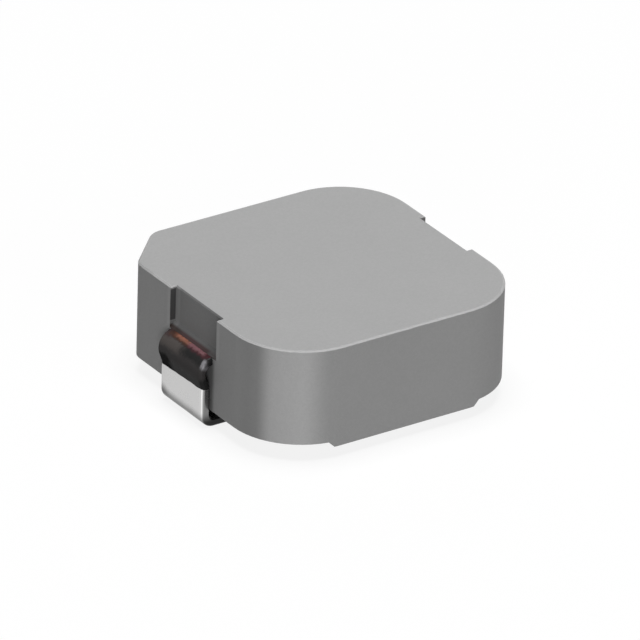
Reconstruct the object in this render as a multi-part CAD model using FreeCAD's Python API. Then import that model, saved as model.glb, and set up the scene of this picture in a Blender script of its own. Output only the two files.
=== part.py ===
"""Shielded surface-mount power inductor, moulded type.

One length of enamelled rectangular copper wire is wound in two rows, from the
middle outwards, so that both of its ends leave the coil on the outside. Magnetic
powder is pressed around the coil and becomes the grey body: core, shield and case
in one. Both wire ends are pressed flat. They come out of the end walls, at the foot
of a shallow slot, bulge over the wall and fold under the body. Enamel stays on the
bulge, and the rest is dipped in tin: those stretches are the two solder pads.

Frame: millimetres, +Z up. Z = 0 is the circuit board, on which the pads lie, and
X runs from one terminal to the other.
"""
import FreeCAD
import Part
import math
import os

# Pressed body
BODY_LENGTH = 10.0          # along X, end wall to end wall
BODY_WIDTH = 10.0           # along Y
OVERALL_HEIGHT = 4.0        # board to top face
CORNER_RADIUS = 2.5         # the three round corners, seen from above
START_CHAMFER = 1.6         # leg of the flat corner that marks the start of the winding
CHAMFER_ROUND = 0.65        # rounding where that flat meets the walls
TOP_EDGE = 0.05             # narrow bevel round the top face
STANDOFF = 0.4              # board to the middle of the underside
PLATEAU_LENGTH = 5.45       # middle of the underside, which stands lowest, along X
RECESS_DEPTH = 0.2          # the end zones of the underside lie this much higher
RECESS_SLOPE = 0.21         # run of the sloping step between them
SLOT_WIDTH = 2.74           # slot in each end wall, from the wire end to the top face
SLOT_DEPTH = 0.21
SLOT_FOOT = 2.75            # board to the end of the slot's floor
SLOT_RAMP = 45.0            # degrees at which it then runs out to the wall

# Wire and winding, sizes over the enamel
WIRE_THICKNESS = 0.68       # from the coil's axis outwards
WIRE_HEIGHT = 1.1
TURN_GAP = 0.06             # powder between neighbouring turns
ROW_GAP = 0.06              # powder between the two rows
OUTER_REACH = 3.1           # coil axis to the middle of the wire, where the winding ends
INNER_REACH = 0.88          # the same, where the wire climbs from row to row
HALF_TURNS = 5              # in each row, besides the half turn of the climb
JOIN_RADIUS = 0.8           # bend that leads the wire off the outer turn

# Wire ends, pressed flat and formed
LEAD_WIDTH = 2.46
LEAD_THICKNESS = 0.23
LEAD_EDGE = 0.05            # edges broken by the press
LEAD_OFFSET = 0.08          # middle of the strip off the middle of its slot, along +Y
LEAD_LEVEL = 2.4            # board to the middle of the strip, where it leaves the body
FLAT_INSIDE = 0.3           # length of the strip inside the body, before its first bend
BULGE_REACH = 0.5           # furthest point of the enamelled bulge beyond the end wall
BULGE_RADIUS = 0.46         # of the strip's middle line, as the next two radii
LEAN_BACK = 20.0            # degrees past vertical, below the bulge
LEAN_RADIUS = 0.5           # where the strip turns vertical again
FOOT_RADIUS = 0.3           # where it folds under the body
FACE_REACH = 0.34           # tinned face beyond the end wall
PAD_GAP = 0.12              # end of the pad to the slope of the underside
ENAMEL = 0.035              # film on the bulge
TIN = 0.03                  # coat on the dipped stretch
DIP_LEVEL = 1.42            # board to the line where the tin begins
DIP_SLANT = 2.0             # degrees between that line and the board

UNDERCUT = 1.0              # how far a cutting body runs past what it cuts
CLIMB_STEPS = 8             # sections are set at these equal steps of the climb
PRESS_STEPS = 4             # and of the stretch where the wire becomes a strip

half_length = BODY_LENGTH / 2
half_width = BODY_WIDTH / 2
slope_start = PLATEAU_LENGTH / 2
slope_end = slope_start + RECESS_SLOPE
recess_level = STANDOFF + RECESS_DEPTH
turn_pitch = WIRE_THICKNESS + TURN_GAP
row_pitch = WIRE_HEIGHT + ROW_GAP
lower_row = LEAD_LEVEL - row_pitch / 2
bulge_x = -half_length - BULGE_REACH + ENAMEL + LEAD_THICKNESS / 2 + BULGE_RADIUS


def vec(x, y, z=0.0):
    return FreeCAD.Vector(x, y, z)


UP = vec(0, 0, 1)
ALONG_X = vec(1, 0)
ALONG_Y = vec(0, 1)


def both_ends(shape):
    """The shape at the -X end and its mirror image at the +X end."""
    return [shape, shape.mirror(vec(0, 0), ALONG_X)]


def polygon(points):
    return Part.makePolygon(points + points[:1])


def prism(points, along):
    return Part.Face(polygon(points)).extrude(along)


def join(pieces):
    return pieces[0].multiFuse(pieces[1:]).removeSplitter()


def rounded_outline(corners):
    """Closed wire through (x, y, radius) corners, each rounded by a tangent arc."""
    count = len(corners)
    rounds = []
    for index, (x, y, radius) in enumerate(corners):
        corner = vec(x, y)
        back = (vec(*corners[index - 1][:2]) - corner).normalize()
        ahead = (vec(*corners[(index + 1) % count][:2]) - corner).normalize()
        inward = (back + ahead).normalize()
        half_angle = back.getAngle(ahead) / 2
        reach = radius / math.tan(half_angle)
        depth = radius / math.sin(half_angle) - radius
        rounds.append((corner + back * reach, corner + inward * depth, corner + ahead * reach))
    edges = []
    for index, (start, middle, end) in enumerate(rounds):
        next_start = rounds[(index + 1) % count][0]
        edges.append(Part.Arc(start, middle, end).toShape())
        edges.append(Part.makeLine(end, next_start))
    return Part.Wire(edges)


def end_slot():
    """Room of the slot in the -X wall, above the wire end."""
    side = -SLOT_WIDTH / 2
    floor = SLOT_DEPTH - half_length
    outside = -half_length - UNDERCUT
    ramp_outside = SLOT_FOOT - (floor - outside) * math.tan(math.radians(SLOT_RAMP))
    return prism([
        vec(floor, side, OVERALL_HEIGHT + UNDERCUT),
        vec(floor, side, SLOT_FOOT),
        vec(outside, side, ramp_outside),
        vec(outside, side, OVERALL_HEIGHT + UNDERCUT),
    ], ALONG_Y * SLOT_WIDTH)


def end_recess():
    """Room under the -X end zone, in which the pad lies."""
    wall = half_width + UNDERCUT
    below = recess_level - UNDERCUT
    slope_below = slope_end - RECESS_SLOPE / RECESS_DEPTH * UNDERCUT
    return prism([
        vec(-slope_below, -wall, below),
        vec(-slope_end, -wall, recess_level),
        vec(-half_length - UNDERCUT, -wall, recess_level),
        vec(-half_length - UNDERCUT, -wall, below),
    ], ALONG_Y * (2 * wall))


def body_block():
    """Outer form of the pressed body, still without the room of the coil."""
    outline = rounded_outline([
        (-half_length, -half_width, CORNER_RADIUS),
        (half_length, -half_width, CORNER_RADIUS),
        (half_length, half_width, CORNER_RADIUS),
        (-half_length + START_CHAMFER, half_width, CHAMFER_ROUND),
        (-half_length, half_width - START_CHAMFER, CHAMFER_ROUND),
    ])
    block = Part.Face(outline).extrude(UP * (OVERALL_HEIGHT - STANDOFF))
    block.translate(UP * STANDOFF)
    block = block.cut(both_ends(end_slot()))
    rim = [edge for edge in block.Edges
           if edge.BoundBox.ZMin > OVERALL_HEIGHT - TOP_EDGE]
    block = block.makeChamfer(TOP_EDGE, rim)
    return block.cut(both_ends(end_recess()))


def wire_section(x, z):
    """Outline of the wire where it crosses the plane Y = 0 in the coil."""
    half_thickness = WIRE_THICKNESS / 2
    half_height = WIRE_HEIGHT / 2
    return polygon([
        vec(x - half_thickness, 0, z - half_height),
        vec(x + half_thickness, 0, z - half_height),
        vec(x + half_thickness, 0, z + half_height),
        vec(x - half_thickness, 0, z + half_height),
    ])


def press_section(x, share):
    """Outline across X: the wire at share 0, pressed into the strip at share 1."""
    eased = share * share * (3 - 2 * share)
    half_y = (WIRE_THICKNESS + (LEAD_WIDTH - WIRE_THICKNESS) * eased) / 2
    half_z = (WIRE_HEIGHT + (LEAD_THICKNESS - WIRE_HEIGHT) * eased) / 2
    y = LEAD_OFFSET * eased
    z = lower_row + (LEAD_LEVEL - lower_row) * eased
    return polygon([
        vec(x, y - half_y, z - half_z),
        vec(x, y + half_y, z - half_z),
        vec(x, y + half_y, z + half_z),
        vec(x, y - half_y, z + half_z),
    ])


def lower_row_wire():
    """The lower row and its way out to the -X wall."""
    pieces = []
    crossing = -OUTER_REACH
    for index in range(HALF_TURNS):
        side = -1 if index % 2 else 1
        following = side * (abs(crossing) - turn_pitch / 2)
        if index == HALF_TURNS - 1:
            following = side * INNER_REACH
        centre = vec((crossing + following) / 2, 0, lower_row)
        radius = abs(following - crossing) / 2
        start = Part.Face(wire_section(crossing, lower_row))
        swing = 180.0
        if index == 0:
            join_x = centre.x - math.sqrt(radius ** 2 + 2 * radius * JOIN_RADIUS)
            join_centre = vec(join_x, -JOIN_RADIUS, lower_row)
            lead_in = math.degrees(math.atan2(JOIN_RADIUS, centre.x - join_x))
            mouth = Part.Face(press_section(join_x, 0.0))
            pieces.append(mouth.revolve(join_centre, UP, lead_in - 90))
            start = start.rotated(centre, UP, lead_in)
            swing -= lead_in
        pieces.append(start.revolve(centre, UP, swing))
        crossing = following

    flat_x = bulge_x + FLAT_INSIDE
    sections = [press_section(join_x + (flat_x - join_x) * step / PRESS_STEPS, step / PRESS_STEPS)
                for step in range(PRESS_STEPS + 1)]
    flat_end = Part.Face(sections[-1])
    pieces.append(Part.makeLoft(sections, True, False))
    pieces.append(flat_end.extrude(vec(-FLAT_INSIDE, 0)))
    return pieces


def climb():
    """The innermost half turn, on which the wire rises from the lower row to the upper."""
    sections = []
    for step in range(CLIMB_STEPS + 1):
        angle = math.pi * step / CLIMB_STEPS
        rise = row_pitch * (1 - math.cos(angle)) / 2
        upright = wire_section(INNER_REACH, lower_row + rise)
        sections.append(upright.rotated(vec(0, 0), UP, math.degrees(angle)))
    return Part.makeLoft(sections, True, False)


def strip_section(x, coat):
    """Outline across X of the pressed strip, thicker all round by a coat."""
    half_y = LEAD_WIDTH / 2 + coat
    half_z = LEAD_THICKNESS / 2 + coat
    edge = LEAD_EDGE + coat * (2 - math.sqrt(2))
    quarter = [(half_y, half_z - edge), (half_y - edge, half_z)]
    around = quarter + [(-y, z) for y, z in quarter[::-1]]
    around += [(-y, -z) for y, z in around]
    return polygon([vec(x, LEAD_OFFSET + y, LEAD_LEVEL + z) for y, z in around])


def formed_end(coat):
    """The bent strip at the -X end, from its first bend to the end of the pad.

    Its section is swung through the bends and pushed along the straight runs between
    them. Their places follow from how far the bulge, the tinned face and the pad reach.
    """
    half_thickness = LEAD_THICKNESS / 2
    face_x = -half_length - FACE_REACH + TIN + half_thickness
    pad_z = TIN + half_thickness
    pad_end = -slope_end - PAD_GAP - TIN + coat

    lean = math.radians(LEAN_BACK)
    inward_in_bends = (BULGE_RADIUS + LEAN_RADIUS) * (1 - math.cos(lean))
    lean_run = (face_x - bulge_x + BULGE_RADIUS - inward_in_bends) / math.sin(lean)
    down_in_bends = (BULGE_RADIUS + LEAN_RADIUS) * math.sin(lean)
    face_top = LEAD_LEVEL - BULGE_RADIUS - down_in_bends - lean_run * math.cos(lean)

    pieces = []

    def push(section, x, z):
        pieces.append(section.extrude(vec(x, 0, z)))
        return section.translated(vec(x, 0, z))

    def swing(section, x, z, degrees):
        pieces.append(section.revolve(vec(x, 0, z), ALONG_Y, degrees))
        return section.rotated(vec(x, 0, z), ALONG_Y, degrees)

    end = Part.Face(strip_section(bulge_x, coat))
    end = swing(end, bulge_x, LEAD_LEVEL - BULGE_RADIUS, -90 - LEAN_BACK)
    end = push(end, lean_run * math.sin(lean), -lean_run * math.cos(lean))
    end = swing(end, face_x - LEAN_RADIUS, face_top, LEAN_BACK)
    end = push(end, 0, pad_z + FOOT_RADIUS - face_top)
    end = swing(end, face_x + FOOT_RADIUS, pad_z + FOOT_RADIUS, -90)
    push(end, pad_end - face_x - FOOT_RADIUS, 0)
    return join(pieces)


def above_dip():
    """Room above the slanted line down to which the enamel was left on."""
    size = 2 * BODY_WIDTH
    room = Part.makeBox(size, size, size, vec(-half_length - size / 2, -size / 2, DIP_LEVEL))
    return room.rotated(vec(0, 0, DIP_LEVEL), ALONG_X, -DIP_SLANT)


def export(name, shape):
    """Write one sub-part to its own file and print what it is."""
    print(name, "valid" if shape.isValid() else "NOT VALID",
          len(shape.Solids), "solid", round(shape.Volume, 4), "mm3")
    shape.exportStep("parts/" + name + ".step")


def main():
    os.makedirs("parts", exist_ok=True)

    row = lower_row_wire()
    upper_row = [piece.rotated(vec(0, 0, LEAD_LEVEL), ALONG_Y, 180) for piece in row]
    buried = join(row + [climb()] + upper_row)
    bare = formed_end(0.0)
    enamelled = formed_end(ENAMEL)
    export("coil_wire", join([buried] + both_ends(bare)))
    export("moulded_core", body_block().cut([buried] + both_ends(enamelled)))

    enamel = enamelled.common(above_dip()).cut(bare)
    tin = formed_end(TIN).cut(above_dip()).cut(bare)
    for coat, shape in (("enamel", enamel), ("tin", tin)):
        for end, piece in zip(("start", "finish"), both_ends(shape)):
            export(end + "_lead_" + coat, piece)


main()
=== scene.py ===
# %% [markdown]
# # A shielded surface-mount inductor
#
# The real part is small: a square grey block, 10 mm on a side, pressed from magnetic
# powder around a copper coil. Two flat wire ends come out of its end walls, bulge over
# them and fold under the block, where they are soldered to a circuit board. Dark enamel
# stays on the bulges, and the rest of each end is dipped in tin.
#
# The exact shapes come from the construction model. This file dresses them: it gives
# the block and the wire their surfaces, and lays finer skins of enamel and tin over the
# two wire ends, because a skin has soft edges and small unevenness that a construction
# model leaves out. All coordinates are in metres, with Z = 0 on the circuit board and X
# from one wire end to the other.

# %% Load the construction model
import math

import bmesh
import bpy
from mathutils import Matrix, Vector, noise


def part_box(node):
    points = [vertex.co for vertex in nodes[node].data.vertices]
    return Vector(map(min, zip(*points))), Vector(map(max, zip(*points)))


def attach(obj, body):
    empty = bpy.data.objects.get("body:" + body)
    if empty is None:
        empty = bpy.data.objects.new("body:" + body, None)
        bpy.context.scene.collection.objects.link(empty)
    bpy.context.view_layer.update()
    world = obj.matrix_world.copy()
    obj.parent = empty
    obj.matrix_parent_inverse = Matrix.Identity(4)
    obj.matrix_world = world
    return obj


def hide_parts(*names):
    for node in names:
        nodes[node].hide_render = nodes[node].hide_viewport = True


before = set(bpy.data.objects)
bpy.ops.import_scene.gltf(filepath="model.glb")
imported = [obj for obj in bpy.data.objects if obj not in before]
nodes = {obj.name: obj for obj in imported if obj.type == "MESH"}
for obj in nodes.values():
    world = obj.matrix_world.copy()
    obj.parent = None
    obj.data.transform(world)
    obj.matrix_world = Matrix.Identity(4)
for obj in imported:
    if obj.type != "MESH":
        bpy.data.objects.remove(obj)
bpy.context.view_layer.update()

print("pieces of the construction model:", sorted(nodes))

# %% [markdown]
# ## The line that the wire end follows
#
# Seen from the side, the flat wire end is a strip that turns down as it leaves the end
# wall, leans back, turns vertical and folds under the block. It could be drawn as a
# spline, but the real one comes from a bending tool, so its line is straight runs and
# round bends. Each stretch is therefore written as a length and a turn, and one function
# walks along them. The sizes are those of the construction model, in mm, except that
# the dip line lies 0.04 mm lower, where the photograph shows it.

# %% Sizes of the wire end
MM = 0.001
HALF_LENGTH = 5.0           # of the block, along X
STRIP_WIDTH = 2.46
STRIP_THICKNESS = 0.23
STRIP_EDGE = 0.05
STRIP_OFFSET = 0.08         # middle of the strip along Y
STRIP_LEVEL = 2.4           # of its middle line, where it leaves the block
BULGE_REACH = 0.5
BULGE_RADIUS = 0.46
LEAN_BACK = math.radians(20.0)
LEAN_RADIUS = 0.5
FOOT_RADIUS = 0.3
FACE_REACH = 0.34
PAD_END = 3.085             # end of the copper under the block, from its middle
ENAMEL = 0.035
TIN = 0.03
DIP_LEVEL = 1.38            # down to this height the enamel was left on
DIP_SLOPE = math.tan(math.radians(2.0))

half_strip = STRIP_THICKNESS / 2
bulge_x = HALF_LENGTH + BULGE_REACH - ENAMEL - half_strip - BULGE_RADIUS
face_x = HALF_LENGTH + FACE_REACH - TIN - half_strip
pad_z = TIN + half_strip
bulge_z = STRIP_LEVEL - BULGE_RADIUS
print("middle of the bulge's bend: x", round(bulge_x, 3), "z", round(bulge_z, 3))

# %% Walk along the runs and bends
both_bends = BULGE_RADIUS + LEAN_RADIUS
lean_run = (bulge_x + BULGE_RADIUS - face_x - both_bends * (1 - math.cos(LEAN_BACK)))
lean_run /= math.sin(LEAN_BACK)
face_top = bulge_z - both_bends * math.sin(LEAN_BACK) - lean_run * math.cos(LEAN_BACK)

STRETCHES = [
    (BULGE_RADIUS * (math.pi / 2 + LEAN_BACK), 1 / BULGE_RADIUS),
    (lean_run, 0.0),
    (LEAN_RADIUS * LEAN_BACK, -1 / LEAN_RADIUS),
    (face_top - pad_z - FOOT_RADIUS, 0.0),
    (FOOT_RADIUS * math.pi / 2, 1 / FOOT_RADIUS),
    (face_x - FOOT_RADIUS - PAD_END, 0.0),
]


def strip_line(travel):
    """Place on the strip's middle line, and its outward direction, after some travel."""
    x, z, heading = bulge_x, STRIP_LEVEL, 0.0
    for length, turn in STRETCHES:
        step = min(travel, length)
        if turn:
            turned = heading + turn * step
            x += (math.sin(turned) - math.sin(heading)) / turn
            z += (math.cos(turned) - math.cos(heading)) / turn
            heading = turned
        else:
            x += math.cos(heading) * step
            z -= math.sin(heading) * step
        travel -= step
        if travel <= 0:
            break
    return Vector((x, z)), Vector((math.sin(heading), math.cos(heading)))


strip_length = sum(length for length, turn in STRETCHES)
print("strip outside the block:", round(strip_length, 2), "mm")
print("it ends at:", [round(part, 3) for part in strip_line(strip_length)[0]])

# %% [markdown]
# ## The outline across the strip
#
# A wire that is rolled flat has round edges. The outline across the strip is therefore
# a rectangle whose corners are quarter circles, given as pairs of width and thickness.
# The flats are divided too: a long flat with no points on it could not carry any
# unevenness.

# %% Outline with round corners
FLAT_POINTS = 22
CORNER_POINTS = 7


def strip_outline(half_width, half_height, radius):
    """Points round a rectangle with round corners, the same count for any size."""
    points = []
    for corner in range(4):
        middle_y = (half_width - radius) * (1 if corner in (0, 3) else -1)
        middle_h = (half_height - radius) * (1 if corner in (0, 1) else -1)
        for index in range(CORNER_POINTS):
            angle = math.radians(90 * (corner + index / (CORNER_POINTS - 1)))
            points.append((middle_y + radius * math.cos(angle),
                           middle_h + radius * math.sin(angle)))
        if corner in (0, 2):
            start, end = points[-1], (-points[-1][0], points[-1][1])
            for index in range(1, FLAT_POINTS):
                share = index / FLAT_POINTS
                points.append((start[0] + (end[0] - start[0]) * share, start[1]))
    return points


copper_outline = strip_outline(STRIP_WIDTH / 2, half_strip, STRIP_EDGE)
print("points round the strip:", len(copper_outline))

# %% [markdown]
# ## Skins of enamel and tin
#
# Each coat is a thin sleeve: an outer surface, the copper's own surface inside it, and
# a narrow ring that closes the two at an end. A Solidify modifier would give the same
# thickness everywhere, but a dipped coat is thinner at its edge and slightly uneven, so
# both surfaces are built row by row. The line between the coats is the level to which
# the part was dipped. It isn't quite level and wanders a little, so the travel at which
# each lengthwise line of points crosses it is found by halving an interval.

# %% Where the enamel ends and the tin begins
DIP_WANDER = 0.06           # height through which the dip line wanders
BEFORE_DIP = 0.5            # travel at which the strip is surely above that line
AFTER_DIP = strip_length - 2.4
HALVINGS = 30               # of the interval between those two


def ripple(place, size):
    """Smooth unevenness between 0 and 1 with bumps of a size in mm."""
    return 0.5 + 0.5 * noise.noise(Vector(place) / size)


def dip_travel(y, height, end):
    """Travel at which a lengthwise line of the strip reaches the dip line."""
    level = DIP_LEVEL - DIP_SLOPE * (STRIP_OFFSET + y)
    level += DIP_WANDER * (ripple((y, end * 7.0, 0.3), 0.35) - 0.5)
    above, below = BEFORE_DIP, AFTER_DIP
    for _ in range(HALVINGS):
        middle = (above + below) / 2
        place, outward = strip_line(middle)
        if place.y + outward.y * height > level:
            above = middle
        else:
            below = middle
    return above


print("dip line at travel:", [round(dip_travel(y, 0.14, -1), 3) for y in (-1.2, 0, 1.2)])


# %% Rows of points of one coat
SHARP_EDGE = math.radians(50)   # edges that turn more than this stay sharp


def coat_row(outline, travels, end, thin):
    """One ring of points round the strip, thinned by thin(place) on both flats."""
    row = []
    for (y, height), travel in zip(outline, travels):
        line, outward = strip_line(travel)
        place = Vector((end * line.x, STRIP_OFFSET + y, line.y))
        # The whole of it on the flats, and none halfway down the strip's edge.
        lift = height - thin(place) * (height / max(abs(height), 0.05))
        place.x += end * outward.x * lift
        place.z += outward.y * lift
        row.append(place * MM)
    return row


def sleeve(name, outer_rows, inner_rows, closed_end):
    """A mesh object from the outer and inner rows of a coat."""
    mesh = bmesh.new()
    rings = [[mesh.verts.new(point) for point in row] for row in outer_rows]
    inside = [[mesh.verts.new(point) for point in row] for row in inner_rows]

    def bridge(first, second):
        for index in range(len(first)):
            after = (index + 1) % len(first)
            mesh.faces.new((first[index], first[after], second[after], second[index]))

    for rows in (rings, inside):
        for first, second in zip(rows, rows[1:]):
            bridge(first, second)
    bridge(rings[0], inside[0])
    if closed_end:
        mesh.faces.new(rings[-1])
        mesh.faces.new(inside[-1])
    else:
        bridge(rings[-1], inside[-1])
    bmesh.ops.recalc_face_normals(mesh, faces=mesh.faces)
    for face in mesh.faces:
        face.smooth = True
    for edge in mesh.edges:
        edge.smooth = edge.calc_face_angle(0.0) < SHARP_EDGE
    data = bpy.data.meshes.new(name)
    mesh.to_mesh(data)
    mesh.free()
    piece = bpy.data.objects.new(name, data)
    bpy.context.scene.collection.objects.link(piece)
    return piece


# %% [markdown]
# ## The enamel on the bulge
#
# The enamel is a varnish film that was on the wire before it was wound. It follows the
# copper closely, so it only needs round edges and a slightly thinner rim where the tin
# has eaten into it.

# %% Build the enamel skins
ENAMEL_ROWS = 52
ENAMEL_EDGE = 0.12          # radius of its long edges
ENAMEL_RIM = 0.012          # taken off at the dip line
ENAMEL_RIM_SHARE = 0.025    # of the film's length, over which that happens
ENAMEL_RIPPLE = 0.006
enamel_outline = strip_outline(STRIP_WIDTH / 2 + ENAMEL, half_strip + ENAMEL, ENAMEL_EDGE)


def enamel_skin(name, end):
    """The film from the end wall to the dip line, at one end of the part."""
    limits = [dip_travel(y, height, end) for y, height in enamel_outline]
    outer, inner = [], []
    for row in range(ENAMEL_ROWS + 1):
        share = row / ENAMEL_ROWS
        travels = [limit * share for limit in limits]
        rim = ENAMEL_RIM * max(0.0, 1 - (1 - share) / ENAMEL_RIM_SHARE)
        outer.append(coat_row(enamel_outline, travels, end,
                              lambda place: rim + ENAMEL_RIPPLE * ripple(place, 0.6)))
        inner.append(coat_row(copper_outline, travels, end, lambda place: 0.0))
    return sleeve(name, outer, inner, closed_end=False)


start_enamel = enamel_skin("start_enamel_film", -1)
finish_enamel = enamel_skin("finish_enamel_film", 1)
print("enamel film:", len(start_enamel.data.polygons), "faces at each end")

# %% [markdown]
# ## The tin on the pad
#
# Molten tin wets the bare copper and freezes with a soft, faintly wavy surface. It is
# thin at the upper rim, where it was drawn out of the bath, and covers the cut end of
# the strip under the block. The last rows pull in along a quarter circle, which rounds
# that end.

# %% Build the tin skins
TIN_ROWS = 84
TIN_EDGE = 0.085            # radius of its long edges
TIN_RIM = 0.014             # taken off at the dip line
TIN_RIM_SHARE = 0.03        # of the coat's length, over which that happens
TIN_RIPPLE = 0.007
END_STEPS = 5               # rows that round the end of the pad
END_PULL = 0.025            # how far its outline pulls in there
tin_outline = strip_outline(STRIP_WIDTH / 2 + TIN, half_strip + TIN, TIN_EDGE)


def tin_skin(name, end):
    """The coat from the dip line round the foot to the end of the pad."""
    limits = [dip_travel(y, height, end) for y, height in tin_outline]
    outer, inner = [], []
    for row in range(TIN_ROWS + 1):
        share = row / TIN_ROWS
        travels = [limit + (strip_length - limit) * share for limit in limits]
        rim = TIN_RIM * max(0.0, 1 - share / TIN_RIM_SHARE)
        outer.append(coat_row(tin_outline, travels, end,
                              lambda place: rim + TIN_RIPPLE * ripple(place, 0.5)))
        inner.append(coat_row(copper_outline, travels, end, lambda place: 0.0))
    for step in range(1, END_STEPS + 1):
        angle = math.pi / 2 * step / END_STEPS
        inset = END_PULL * (1 - math.cos(angle))
        ring = [point.copy() for point in outer[TIN_ROWS]]
        middle = sum(ring, Vector()) / len(ring)
        for point, (y, height) in zip(ring, tin_outline):
            point.x -= end * TIN * MM * math.sin(angle)
            point.y += (middle.y - point.y) * inset / (STRIP_WIDTH / 2)
            point.z += (middle.z - point.z) * inset / (half_strip + TIN)
        outer.append(ring)
    return sleeve(name, outer, inner, closed_end=True)


start_tin = tin_skin("start_tin_coat", -1)
finish_tin = tin_skin("finish_tin_coat", 1)
print("tin coat:", len(start_tin.data.polygons), "faces at each end")

# %% Put the skins in place of the plain ones
for skin, node, slot_name in (
    (start_enamel, "start_lead_enamel", "enamel"),
    (finish_enamel, "finish_lead_enamel", "enamel"),
    (start_tin, "start_lead_tin", "tin"),
    (finish_tin, "finish_lead_tin", "tin"),
):
    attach(skin, "root")
    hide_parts(node)
    low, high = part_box(node)
    size = [round(1000 * part, 2) for part in high - low]
    print(skin.name, "stands for", node, size, "mm")

# %% [markdown]
# ## Writing surfaces as sums
#
# A finish is a small network of shader nodes. Placing dozens of nodes by hand hides
# what they work out, so a socket is wrapped here in a class that knows +, - and *: an
# expression such as 1 - mask then adds its own Math nodes. Every other node comes from
# one method, which takes the node's type, its settings and what goes into its sockets.
# Two words turn a place on the part into a mask: rise, a soft step up, and band, a step
# up followed by a step down.

# %% One wrapped socket
class Tap:
    """An output of a shader node that can stand in a Python expression."""

    def __init__(self, finish, socket):
        self.finish = finish
        self.socket = socket

    def __add__(self, other):
        return self.finish.math("ADD", self, other)

    def __radd__(self, other):
        return self.finish.math("ADD", other, self)

    def __sub__(self, other):
        return self.finish.math("SUBTRACT", self, other)

    def __rsub__(self, other):
        return self.finish.math("SUBTRACT", other, self)

    def __mul__(self, other):
        return self.finish.math("MULTIPLY", self, other)

    def __rmul__(self, other):
        return self.finish.math("MULTIPLY", other, self)

    def __abs__(self):
        return self.finish.math("ABSOLUTE", self)

    def rise(self, low, high):
        """0 below low, 1 above high and a soft step between them."""
        return self.finish.add("ShaderNodeMapRange", {"interpolation_type": "SMOOTHSTEP"},
                               {"Value": self, "From Min": low, "From Max": high})

    def band(self, start, full, fading, gone):
        """0 up to start, 1 from full to fading, and 0 again from gone."""
        return self.rise(start, full) - self.rise(fading, gone)


# %% One material under construction
class Finish:
    """A material whose nodes are added by the expressions that describe it."""

    def __init__(self, name):
        self.material = bpy.data.materials.new(name)
        self.material.use_nodes = True
        self.material.node_tree.nodes.clear()

    def add(self, kind, settings=None, values=None, output=0):
        """A node of any kind: settings first, then the values or links of its sockets."""
        node = self.material.node_tree.nodes.new(kind)
        for key, value in (settings or {}).items():
            setattr(node, key, value)
        for key, value in (values or {}).items():
            if isinstance(value, Tap):
                self.material.node_tree.links.new(value.socket, node.inputs[key])
            else:
                node.inputs[key].default_value = value
        return Tap(self, node.outputs[output])

    def math(self, operation, *operands):
        """A Math node with one or two operands."""
        return self.add("ShaderNodeMath", {"operation": operation},
                        dict(enumerate(operands)))

    def scaled(self, vector, factor):
        """A vector or a colour, made larger or lighter by a factor."""
        return self.add("ShaderNodeVectorMath", {"operation": "SCALE"},
                        {0: vector, "Scale": factor})

    def place(self):
        """Position on the part in millimetres, as a vector."""
        return self.scaled(self.add("ShaderNodeTexCoord", output="Object"), 1 / MM)

    def parts(self, vector):
        """The X, Y and Z of a vector."""
        split = self.add("ShaderNodeSeparateXYZ", values={0: vector})
        return [Tap(self, output) for output in split.socket.node.outputs]

    def cloud(self, place, per_mm, detail=2.0, roughness=0.5):
        """Soft noise between 0 and 1."""
        return self.add("ShaderNodeTexNoise", values={
            "Vector": place, "Scale": per_mm, "Detail": detail, "Roughness": roughness})

    def blend(self, share, first, second):
        """A colour between two colours."""
        return self.add("ShaderNodeMix", {"data_type": "RGBA"},
                        {0: share, 6: first, 7: second}, output=2)

    def bump(self, height, distance, strength=1.0):
        """A normal from a height, with the height of its steps in mm."""
        return self.add("ShaderNodeBump", values={
            "Height": height, "Distance": distance * MM, "Strength": strength})

    def surface(self, **values):
        """The surface itself, with the names of its sockets written as words."""
        named = {key.replace("_", " "): value for key, value in values.items()}
        shader = self.add("ShaderNodeBsdfPrincipled", values=named)
        self.output(shader)
        return self.material

    def output(self, shader):
        """The end of the network, which every material needs."""
        tree = self.material.node_tree
        end = tree.nodes.new("ShaderNodeOutputMaterial")
        tree.links.new(shader.socket, end.inputs["Surface"])


def grey(value, warmth=0.0):
    """A neutral colour, a little redder and less blue with warmth."""
    return (value * (1 + warmth), value, value * (1 - warmth), 1.0)


def wear(piece, material):
    """Give an object this one material."""
    piece.data.materials.clear()
    piece.data.materials.append(material)


# %% [markdown]
# ## Pressed magnetic powder
#
# The block is iron alloy powder with a little resin, pressed so hard that its faces come
# out smooth and dull grey. Close up one sees the powder: specks a few hundredths of a
# millimetre wide, each with its own tone, and tiny pores. A plain grey would look like
# paint. Voronoi cells give every speck one tone and a slow noise makes the press marks
# drift; the specks, a finer grain and the pores feed the bump, so that the tone and the
# relief belong together.
#
# The block isn't the same all over. Its top edge carries a painted highlight, and so
# does the end wall beside each slot. The slots carry painted shade with a painted light
# band near one side, a painted shadow lies on the wall beside the wire, and painted shade
# tinted reddish brown fills the crevice where the wire comes out. The near round corner
# carries a painted highlight band that the lamps alone don't give, and the wall just
# before it painted shade. Each such place is a mask: a number between 0 and 1, worked
# out from X, Y and Z. A painted picture could show the same, but it would need an
# unwrapped mesh and a picture file, and it would blur close up.

# %% Find the places where the block differs
ROUND_MIDDLE = 2.5          # of the round corners, from the block's middle, in mm
TOP = 4.0                   # height of the top face
BEVEL = 0.05                # round the top face
SLOT_HALF = 1.37            # half the width of the slots in the end walls
SLOT_FOOT = 2.75            # height at which a slot's floor ends and its ramp begins
SLOT_DEPTH = 0.21


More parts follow.
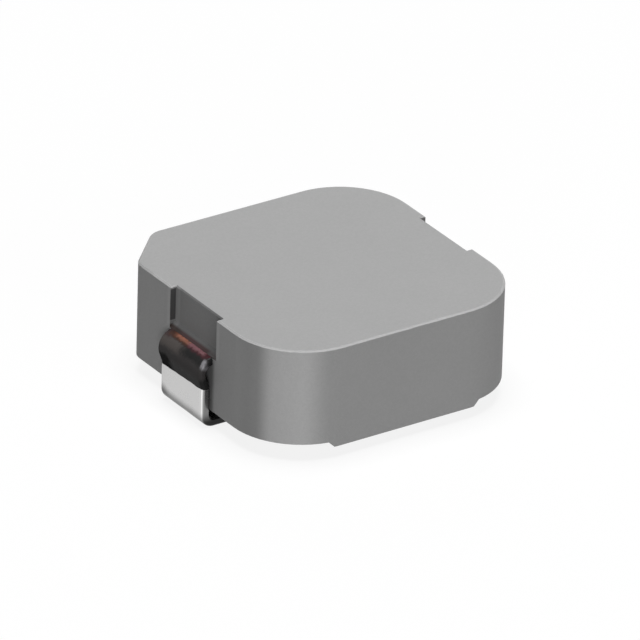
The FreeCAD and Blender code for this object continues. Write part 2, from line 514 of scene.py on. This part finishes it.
def block_places(finish, x, y, z):
    """Masks of the places where light and shade are painted on the block."""
    past_x = finish.math("MAXIMUM", abs(x) - ROUND_MIDDLE, 0.0)
    past_y = finish.math("MAXIMUM", abs(y) - ROUND_MIDDLE, 0.0)
    reach = finish.math("SQRT", past_x * past_x + past_y * past_y)
    outer = reach.rise(2.40, 2.44) * (1 - (y - x).rise(7.2, 7.6))
    turn = finish.math("ARCTAN2", -ROUND_MIDDLE - y, -ROUND_MIDDLE - x)
    facing = finish.parts(finish.add("ShaderNodeNewGeometry", output="Normal"))[2]
    upright = 1 - abs(facing).rise(0.3, 0.6)
    bevel_start = TOP - BEVEL
    ramp_end = SLOT_FOOT - SLOT_DEPTH
    in_slot = 1 - (abs(y) - SLOT_HALF).rise(0.001, 0.004)
    in_slot = in_slot * abs(x).rise(HALF_LENGTH - 0.4, HALF_LENGTH - 0.3)
    in_slot = in_slot * z.band(ramp_end - 0.04, ramp_end, TOP - 0.010, TOP - 0.002)
    near_side = (y - SLOT_HALF).rise(-0.004, -0.001) * (1 - x.rise(0.0, 1.0))
    beside_slot = 1 - abs(abs(y) - SLOT_HALF - 0.10).rise(0.03, 0.11)
    beside_wire = 1 - abs(y - STRIP_OFFSET).rise(1.22, 1.46)
    on_wall = abs(x).rise(HALF_LENGTH - 0.010, HALF_LENGTH - 0.002)
    return {
        # Painted highlight along the top edge.
        "rim": (z.rise(bevel_start - 0.005, bevel_start + 0.005)
                * (1 + outer - z.rise(TOP - 0.008, TOP - 0.002))),
        # Painted highlight band on the near round corner, and painted shade on the wall
        # just before it.
        "corner": upright * turn.band(0.38, 0.64, 1.00, 1.42),
        "shade_before_corner": upright * turn.band(0.02, 0.30, 0.38, 0.60),
        # Painted shade in the slots, deepest on the near slot's side wall, at the foot
        # and at the lip, with a painted light band near one side.
        "slot": in_slot,
        "slot_side_shade": in_slot * near_side * z.band(2.74, 2.80, 3.88, 3.93),
        "slot_shade": (in_slot * (1 - y.rise(-1.3, -0.2))
                       * (1.3 - 0.7 * z.rise(2.8, 3.9))),
        "slot_highlight": in_slot * y.rise(1.05, 1.16),
        "slot_foot_shade": in_slot * (1 - z.rise(SLOT_FOOT - 0.01, SLOT_FOOT + 0.01)),
        "slot_lip_shade": in_slot * z.rise(bevel_start - 0.010, bevel_start),
        # Painted shade, tinted reddish brown, in the crevice where the wire comes out.
        "crevice_shade": in_slot * (1 - z.rise(2.60, 2.68)) * (0.4 + 0.6 * y.rise(-1.0, -0.75)),
        "crevice_dark": y.rise(0.60, 0.95),
        # Painted highlight on the end wall beside each slot's edges.
        "mouth": beside_slot * on_wall * z.rise(2.4, 2.7),
        # Painted shadow on the end wall beside the wire.
        "wire_shadow": beside_wire * on_wall * (1 - z.rise(2.30, 2.65)),
    }


print("half the slot's width:", SLOT_HALF, "mm")


# %% Make the powder finish
def powder_finish():
    """Grey with specks and pores, with painted highlights and shade where the masks say
    so.
    """
    finish = Finish("pressed_powder")
    place = finish.place()
    cells = finish.add("ShaderNodeTexVoronoi", {"feature": "F1"},
                       {"Vector": place, "Scale": 16.0}, output="Color")
    speck = finish.parts(cells)[0]
    grain = finish.cloud(place, 42.0, detail=3.0, roughness=0.6)
    drift = finish.cloud(place, 0.55, detail=2.0)
    pores = finish.cloud(place, 7.0, detail=4.0, roughness=0.7).rise(0.70, 0.80)

    at = block_places(finish, *finish.parts(place))
    tone = 1 + 0.05 * (speck - 0.5) + 0.10 * (grain - 0.5) + 0.05 * (drift - 0.5)
    # The masks paint light and shade into the tone: highlights on the top edge, beside
    # the slots and on the near corner; shade before the corner, in the slots and beside
    # the wire; tinted shade in the crevice.
    tone = tone * (1 - 0.25 * pores) * (1 + 0.17 * at["rim"]) * (1 + 0.12 * at["mouth"])
    tone = tone * (1 + 0.42 * at["corner"]) * (1 - 0.12 * at["shade_before_corner"])
    slot = 0.36 * at["slot"] + 0.13 * at["slot_shade"] - 0.15 * at["slot_highlight"]
    slot = slot + 0.26 * at["slot_foot_shade"] + 0.25 * at["slot_lip_shade"]
    tone = tone * (1 - slot) * (1 - 0.76 * at["slot_side_shade"]) * (1 - 0.56 * at["wire_shadow"])
    # Painted shade, tinted reddish brown, in the crevice where the wire comes out.
    crevice_shade_tint = finish.blend(at["crevice_dark"], (0.140, 0.064, 0.066, 1.0),
                        (0.054, 0.028, 0.021, 1.0))
    colour = finish.scaled(finish.blend(0.9 * at["crevice_shade"], grey(0.385), crevice_shade_tint), tone)
    height = 0.5 * speck + 0.5 * grain - 0.6 * pores
    return finish.surface(Base_Color=colour,
                          Roughness=0.60 + 0.08 * (grain - 0.5) - 0.06 * at["corner"],
                          Specular_IOR_Level=0.2,
                          Normal=finish.bump(height, 0.003, 0.6))


powder = powder_finish()
wear(nodes["moulded_core"], powder)
print("powder finish:", len(powder.node_tree.nodes), "nodes")

# %% [markdown]
# ## Enamel over copper
#
# The film is nearly black where it is thick. Where the bend has stretched it thin, the
# copper shines through as a streak along the top of the bulge, and a painted highlight
# lies over it: orange at one end, a purplish red at the other, with a dark red rim. On
# the outward face of the bend the film carries a lighter painted sheen. Beside the streak
# the film is olive and brown, and a light grey spot on one edge is a painted highlight.
# All of these are painted by their place on the bend. The angle round the middle of the
# bend, worked out from X and Z, is the same all along the strip, and noise is added to
# it so that no border runs straight.
# Only a thin clear coat shines: with its own reflection switched on, the dark film would
# mirror the white floor and look grey.

# %% Make the enamel finish
def enamel_finish():
    """Dark film with the streak, a painted sheen, the brown patches and a painted
    highlight on one edge.
    """
    finish = Finish("enamel_over_copper")
    place = finish.place()
    x, y, z = finish.parts(place)
    angle = finish.math("ARCTAN2", abs(x) - bulge_x, z - bulge_z)

    cloud = finish.cloud(place, 2.2, detail=3.0, roughness=0.6)
    fine = finish.cloud(place, 9.0, detail=3.0, roughness=0.6)
    wander = angle + 0.30 * (cloud - 0.5) + 0.30 * (fine - 0.5)
    across = y + 0.5 * (cloud - 0.5) + 0.25 * (fine - 0.5)

    # A lighter painted sheen on the outward face of the bend.
    thin = wander.band(0.85, 1.20, 1.65, 2.05)
    olive = wander.band(0.45, 0.70, 1.00, 1.40) * across.rise(-0.15, 0.45)
    brown = (1 - wander.rise(0.55, 0.85)) * across.rise(0.75, 1.05)
    black = wander.rise(1.55, 1.85) * across.rise(0.40, 0.80)
    film = finish.blend(thin, grey(0.021), (0.054, 0.050, 0.050, 1.0))
    film = finish.blend(olive * 0.9, film, (0.100, 0.088, 0.083, 1.0))
    film = finish.blend(brown * 0.8, film, (0.062, 0.042, 0.043, 1.0))
    film = finish.blend(black * 0.9, film, grey(0.003))

    # Streak along the top of the bend: copper showing through the stretched film, with a
    # painted highlight over it.
    halo = wander.band(0.00, 0.14, 0.42, 0.66) * across.band(-1.10, -0.95, 0.85, 1.20)
    core = wander.band(0.06, 0.20, 0.27, 0.50) * across.band(-0.98, -0.74, 0.60, 0.98)
    warm = across.rise(-0.10, 0.20)
    edge = finish.blend(warm, (0.075, 0.022, 0.028, 1.0), (0.085, 0.036, 0.022, 1.0))
    copper_and_glint = finish.blend(warm, (0.27, 0.130, 0.145, 1.0), (0.37, 0.155, 0.105, 1.0))
    colour = finish.blend(halo * (0.5 + 0.6 * fine), film, edge)
    colour = finish.blend(core * (0.10 + 1.4 * fine), colour, copper_and_glint)

    # A painted highlight, light grey and partly metallic, on one round edge of the bulge.
    from_highlight = abs(y + 1.00 + 0.13 * angle + 0.06 * (fine - 0.5))
    edge_highlight = (1 - from_highlight.rise(0.03, 0.12)) * angle.band(0.44, 0.66, 0.92, 1.22)
    colour = finish.blend(0.85 * edge_highlight, colour, (0.27, 0.265, 0.28, 1.0))
    return finish.surface(Base_Color=colour,
                          Metallic=0.3 * edge_highlight,
                          Roughness=0.42 + 0.12 * (fine - 0.5),
                          Specular_IOR_Level=0.0,
                          Coat_Weight=0.14 + 0.25 * core - 0.10 * black,
                          Coat_Roughness=0.22,
                          Normal=finish.bump(cloud + 0.3 * fine, 0.02, 0.5))


enamel = enamel_finish()
wear(start_enamel, enamel)
wear(finish_enamel, enamel)
print("enamel finish:", len(enamel.node_tree.nodes), "nodes")

# %% [markdown]
# ## Dipped tin
#
# Tin from a bath is a pale metal with a satin skin. It is fully metallic, so nearly
# all of its look is what it mirrors. The roughness drifts in soft patches and the bump
# adds the low waves of the frozen surface. A painted highlight runs along one long edge,
# the narrow sides carry painted shade, and round the foot the metal is painted dark,
# standing for the shade it mirrors under the block.

# %% Make the tin finish
BRIGHT_EDGE = STRIP_OFFSET - 1.18   # place along Y of the edge that carries a painted highlight


def tin_finish():
    """Satin metal, with a painted highlight along one edge and painted shade on its sides
    and round the foot.
    """
    finish = Finish("dipped_tin")
    place = finish.place()
    cloud = finish.cloud(place, 1.6, detail=3.0)
    fine = finish.cloud(place, 14.0, detail=3.0, roughness=0.6)
    x, y, z = finish.parts(place)
    beside = abs(y - STRIP_OFFSET)
    # Painted highlight along one long edge.
    edge = 1 - (abs(y - BRIGHT_EDGE) + 0.03 * (cloud - 0.5)).rise(0.010, 0.038)
    # Painted shade on the strip's narrow sides.
    flank_shade = beside.rise(1.215, 1.250)
    # Painted shade round the foot, for the dark the metal mirrors under the block.
    low = z - 0.16 * y.rise(0.7, 1.3) + 0.10 * (cloud - 0.5) + 0.04 * (fine - 0.5)
    foot_shade = 1 - low.rise(0.18, 0.62)
    tone = 1 + 0.05 * (cloud - 0.5) + 0.02 * (fine - 0.5) + 0.06 * beside.rise(0.95, 1.12)
    tone = tone * (1 - 0.10 * y.rise(1.00, 1.25)) * (1 + 0.60 * edge)
    tone = tone * (1 - 0.88 * foot_shade) * (1 - 0.62 * flank_shade)
    colour = finish.scaled(grey(0.54, 0.004)[:3], tone)
    return finish.surface(Base_Color=colour, Metallic=1.0,
                          Roughness=0.28 + 0.14 * (cloud - 0.5) + 0.04 * (fine - 0.5),
                          Normal=finish.bump(cloud + 0.05 * fine, 0.012, 0.4))


tin = tin_finish()
wear(start_tin, tin)
wear(finish_tin, tin)
print("tin finish:", len(tin.node_tree.nodes), "nodes")

# %% [markdown]
# ## The copper
#
# Nearly all of the wire is inside the block, but the model can be opened, so it has
# its own finish: bright copper with a faint fine unevenness and patches where the
# varnish dulls it.

# %% Make the copper finish
def copper_finish():
    """Bright copper with duller patches."""
    finish = Finish("wire_copper")
    place = finish.place()
    cloud = finish.cloud(place, 1.2, detail=3.0)
    fine = finish.cloud(place, 18.0, detail=2.0)
    colour = finish.blend(cloud.rise(0.35, 0.75), (0.86, 0.42, 0.24, 1.0),
                          (0.58, 0.25, 0.14, 1.0))
    return finish.surface(Base_Color=colour, Metallic=1.0,
                          Roughness=0.30 + 0.20 * cloud,
                          Normal=finish.bump(fine, 0.004, 0.4))


copper = copper_finish()
wear(nodes["coil_wire"], copper)
print("copper finish:", len(copper.node_tree.nodes), "nodes")

# %% [markdown]
# ## Floor and background
#
# The part stands on a pale floor. Towards the camera the floor glows, so that it reads
# as white paper and still keeps the soft shadow. Towards the part it is a darker card
# with a faint glow, because white paper would throw light up the walls and flatten
# them. Seen from below it is clear, so that the underside can be looked at. The sky is
# made in the same way: white where it is seen or mirrored, and almost dark as a light.

# %% Make the floor
CARD_TONE, CARD_GLOW = 0.20, 0.05       # as the part sees the floor
PAPER_TONE, PAPER_GLOW = 0.15, 0.86     # as the camera sees it


def floor_finish():
    """White paper to the eye, a dark card to the part, and clear from below."""
    finish = Finish("white_paper")
    rays = finish.add("ShaderNodeLightPath")
    outputs = rays.socket.node.outputs
    seen = (Tap(finish, outputs["Is Camera Ray"]) + Tap(finish, outputs["Is Glossy Ray"])
            + Tap(finish, outputs["Is Transmission Ray"]))
    clear = finish.add("ShaderNodeBsdfTransparent", values={"Color": grey(1.0)})
    card = finish.add("ShaderNodeAddShader", values={
        0: finish.add("ShaderNodeBsdfDiffuse", values={"Color": grey(CARD_TONE)}),
        1: finish.add("ShaderNodeEmission", values={"Strength": CARD_GLOW})})
    white = finish.add("ShaderNodeAddShader", values={
        0: finish.add("ShaderNodeBsdfDiffuse", values={"Color": grey(PAPER_TONE)}),
        1: finish.add("ShaderNodeEmission", values={"Strength": PAPER_GLOW})})
    look = finish.add("ShaderNodeMixShader", values={0: seen, 1: card, 2: white})
    back = finish.add("ShaderNodeNewGeometry", output="Backfacing")
    finish.output(finish.add("ShaderNodeMixShader", values={0: back, 1: look, 2: clear}))
    return finish.material


FLOOR_HALF = 0.4
FLOOR_GAP = 0.000005        # below the pads, so that the two don't share a plane
floor_mesh = bmesh.new()
bmesh.ops.create_grid(floor_mesh, x_segments=8, y_segments=8, size=FLOOR_HALF)
floor_data = bpy.data.meshes.new("floor")
floor_mesh.to_mesh(floor_data)
floor_mesh.free()
floor = bpy.data.objects.new("floor", floor_data)
floor.location.z = -FLOOR_GAP
bpy.context.scene.collection.objects.link(floor)
wear(floor, floor_finish())
print("floor:", 2 * FLOOR_HALF, "m on a side")

# %% Make the surroundings
SKY_AS_LIGHT = 0.024
SKY_AS_SEEN = 1.0

world = bpy.data.worlds.new("studio")
bpy.context.scene.world = world
world.use_nodes = True
sky = world.node_tree
sky.nodes.clear()
path = sky.nodes.new("ShaderNodeLightPath")
dim = sky.nodes.new("ShaderNodeBackground")
bright = sky.nodes.new("ShaderNodeBackground")
for background, strength in ((dim, SKY_AS_LIGHT), (bright, SKY_AS_SEEN)):
    background.inputs["Color"].default_value = grey(1.0)
    background.inputs["Strength"].default_value = strength
seen = path.outputs["Is Camera Ray"]
for kind in ("Is Glossy Ray", "Is Transmission Ray"):
    either = sky.nodes.new("ShaderNodeMath")
    either.operation = "MAXIMUM"
    sky.links.new(seen, either.inputs[0])
    sky.links.new(path.outputs[kind], either.inputs[1])
    seen = either.outputs[0]
chosen = sky.nodes.new("ShaderNodeMixShader")
sky.links.new(seen, chosen.inputs[0])
sky.links.new(dim.outputs[0], chosen.inputs[1])
sky.links.new(bright.outputs[0], chosen.inputs[2])
sky.links.new(chosen.outputs[0], sky.nodes.new("ShaderNodeOutputWorld").inputs["Surface"])
print("the sky lights with", SKY_AS_LIGHT, "and shows as", SKY_AS_SEEN)

# %% [markdown]
# ## Lamps
#
# The block shows three tones: a light top, a middle grey wall and a darker end wall,
# with a brighter band on the round corner between the walls. Large soft lamps give the
# tones: a strong one overhead, a low one on the camera's side that helps the band, and a
# weaker one from the right. Small hard lamps would draw sharp highlights instead. A
# faint lamp behind keeps the far walls from going black when the part is looked at from
# there. Each is aimed at the part and named for where it hangs.

# %% Hang the lamps
TARGET = Vector((0.0, 0.0, 2.0)) * MM


def hang_lamp(name, azimuth, elevation, distance, size, power):
    """A square soft lamp aimed at the part. Azimuth 0 is in front, at -Y."""
    turn, lift = math.radians(azimuth), math.radians(elevation)
    direction = Vector((math.sin(turn) * math.cos(lift), -math.cos(turn) * math.cos(lift),
                        math.sin(lift)))
    data = bpy.data.lights.new(name, "AREA")
    data.shape = "SQUARE"
    data.size = size
    data.energy = power
    lamp = bpy.data.objects.new(name, data)
    lamp.location = TARGET + direction * distance
    lamp.rotation_euler = direction.to_track_quat("Z", "Y").to_euler()
    bpy.context.scene.collection.objects.link(lamp)
    print(name, "at", [round(part, 3) for part in lamp.location], "power", power)


hang_lamp("overhead", 0, 90, 0.30, 0.15, 0.755)
hang_lamp("low_left", -38, 5, 0.30, 0.10, 0.305)
hang_lamp("low_right", 10, 12, 0.30, 0.16, 0.20)
hang_lamp("behind", 150, 20, 0.30, 0.20, 0.12)

# %% [markdown]
# ## The camera
#
# The photograph was taken from the front left and above, through a long lens, so the
# far edges hardly shrink. The camera's place was fitted to the block's outline. Aiming
# it a hair beside the part's middle moves the picture without shifting the lens.

# %% Set up the camera
AZIMUTH = math.radians(-34.36)
ELEVATION = math.radians(27.32)
ROLL = math.radians(1.65)
DISTANCE = 0.36613
AIM_RIGHT, AIM_UP = -0.0000202, 0.0000649
SENSOR_WIDTH, FOCAL_LENGTH = 36.0, 630.0    # in mm, as Blender counts lenses

back = Vector((math.sin(AZIMUTH) * math.cos(ELEVATION),
               -math.cos(AZIMUTH) * math.cos(ELEVATION), math.sin(ELEVATION)))
right = Vector((math.cos(AZIMUTH), math.sin(AZIMUTH), 0.0))
up = back.cross(right)
right, up = (math.cos(ROLL) * right + math.sin(ROLL) * up,
             math.cos(ROLL) * up - math.sin(ROLL) * right)
aim = TARGET + AIM_RIGHT * right + AIM_UP * up

lens = bpy.data.cameras.new("camera")
lens.sensor_width = SENSOR_WIDTH
lens.lens = FOCAL_LENGTH
lens.clip_start = 0.01
lens.clip_end = 10.0
camera = bpy.data.objects.new("camera", lens)
bpy.context.scene.collection.objects.link(camera)
camera.location = aim + back * DISTANCE
camera.rotation_mode = "QUATERNION"
camera.rotation_quaternion = Matrix((right, up, back)).transposed().to_quaternion()
bpy.context.scene.camera = camera
print("camera at", [round(part, 4) for part in camera.location])

bpy.context.scene.view_settings.view_transform = "Standard"
bpy.context.view_layer.update()
